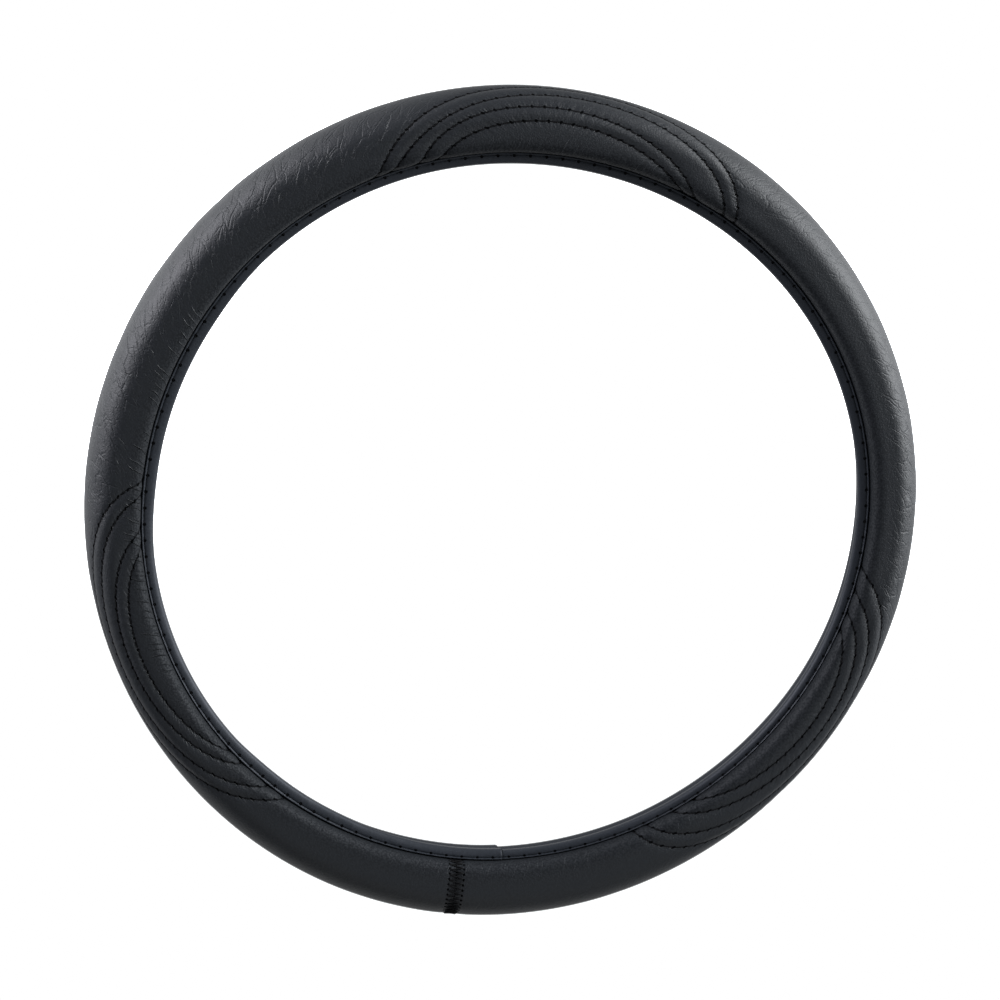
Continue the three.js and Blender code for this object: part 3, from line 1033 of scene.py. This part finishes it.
def makeFloor():
    bm = bmesh.new()
    bmesh.ops.create_grid(bm, x_segments=2, y_segments=2, size=6)
    mesh = bpy.data.meshes.new("studioFloor")
    bm.to_mesh(mesh)
    bm.free()
    mesh.transform(Matrix.Translation((0, 0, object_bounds()[0].z - 0.2 * mm)))
    material, tree, shader = newMaterial("paleFloor")
    shader.inputs["Base Color"].default_value = (0, 0, 0, 1)
    shader.inputs["Specular IOR Level"].default_value = 0
    shader.inputs["Emission Color"].default_value = studio["floorGlow"]
    spot, glow = put(tree, "ShaderNodeTexCoord").outputs["Object"], 1.0
    # painted pools of light: glow added round each spot on top of the even floor glow
    for (x, y), gain in studio["paintedPools"]:
        away = put(tree, "ShaderNodeVectorMath", {0: spot, 1: (x, y, 0)}, operation="DISTANCE")
        paintedPool = fade(tree, away.outputs["Value"], studio["paintedPoolReach"], 0.0, 0.0, gain)
        glow = calc(tree, "ADD", glow, paintedPool)
    tree.links.new(glow, shader.inputs["Emission Strength"])
    mesh.materials.append(material)
    floor = bpy.data.objects.new("studioFloor", mesh)
    bpy.context.scene.collection.objects.link(floor)
    floor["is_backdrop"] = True


def makeLights():
    scene = bpy.context.scene
    world = bpy.data.worlds.new("softRoom")
    world.use_nodes = True
    tree = world.node_tree
    room = tree.nodes["Background"]
    room.inputs["Color"].default_value = studio["worldColor"]
    room.inputs["Strength"].default_value = studio["world"]
    backdrop = put(tree, "ShaderNodeBackground", {"Color": studio["floorGlow"]})
    seen = put(tree, "ShaderNodeLightPath").outputs["Is Camera Ray"]
    mixed = put(tree, "ShaderNodeMixShader", {0: seen, 1: room.outputs[0], 2: backdrop.outputs[0]})
    tree.links.new(mixed.outputs[0], tree.nodes["World Output"].inputs["Surface"])
    scene.world = world
    for name, place, size, watts, color in studio["lights"]:
        light = bpy.data.lights.new(name, "AREA")
        light.shape = "RECTANGLE"
        light.size, light.size_y = size
        light.energy = watts
        light.color = color
        lamp = bpy.data.objects.new(name, light)
        lamp.location = place
        lamp.rotation_euler = Vector(place).to_track_quat("Z", "Y").to_euler()
        scene.collection.objects.link(lamp)


def setTones():
    # straight up to the darks' end, then steeply up, so that the floor shows as plain white
    view = bpy.context.scene.view_settings
    view.view_transform = "Standard"
    view.use_curve_mapping = True
    curve = view.curve_mapping.curves[3]
    curve.points.new(studio["whiteFrom"], studio["whiteFrom"])
    curve.points.new(0.98 * min(studio["floorGlow"][:3]), 1)
    for point in curve.points:
        point.handle_type = "VECTOR"
    view.curve_mapping.update()


shot = {
    "distance": 1.2,
    "offAxis": 15.153,  # degrees from the hub axis
    "bearing": 125.588,  # of the camera, counter-clockwise from +X
    "focal": 95.6,
    "sensor": 36,
    "shiftX": -0.0080,
    "shiftY": 0.0109,
}


def makeCamera():
    tilt, bearing = math.radians(shot["offAxis"]), math.radians(shot["bearing"])
    back = Vector((math.sin(tilt) * math.cos(bearing), math.sin(tilt) * math.sin(bearing), math.cos(tilt)))
    across = Vector((0, 1, 0)).cross(back).normalized()
    up = back.cross(across)
    camera = bpy.data.cameras.new("photoCamera")
    camera.lens = shot["focal"]
    camera.sensor_width = shot["sensor"]
    camera.shift_x = shot["shiftX"]
    camera.shift_y = shot["shiftY"]
    rig = bpy.data.objects.new("photoCamera", camera)
    place = Vector((0, 0, ring["middle"] * mm)) + back * shot["distance"]
    rig.matrix_world = Matrix.Translation(place) @ Matrix((across, up, back)).transposed().to_4x4()
    bpy.context.scene.collection.objects.link(rig)
    bpy.context.scene.camera = rig


makeFloor()
makeLights()
setTones()
makeCamera()
print("studio made")

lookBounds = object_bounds()
sizes = {"cad": [list(corner) for corner in cadBounds], "looks": [list(corner) for corner in lookBounds]}
for title, corners in sizes.items():
    print(title, "box", [round(length, 4) for corner in corners for length in corner])
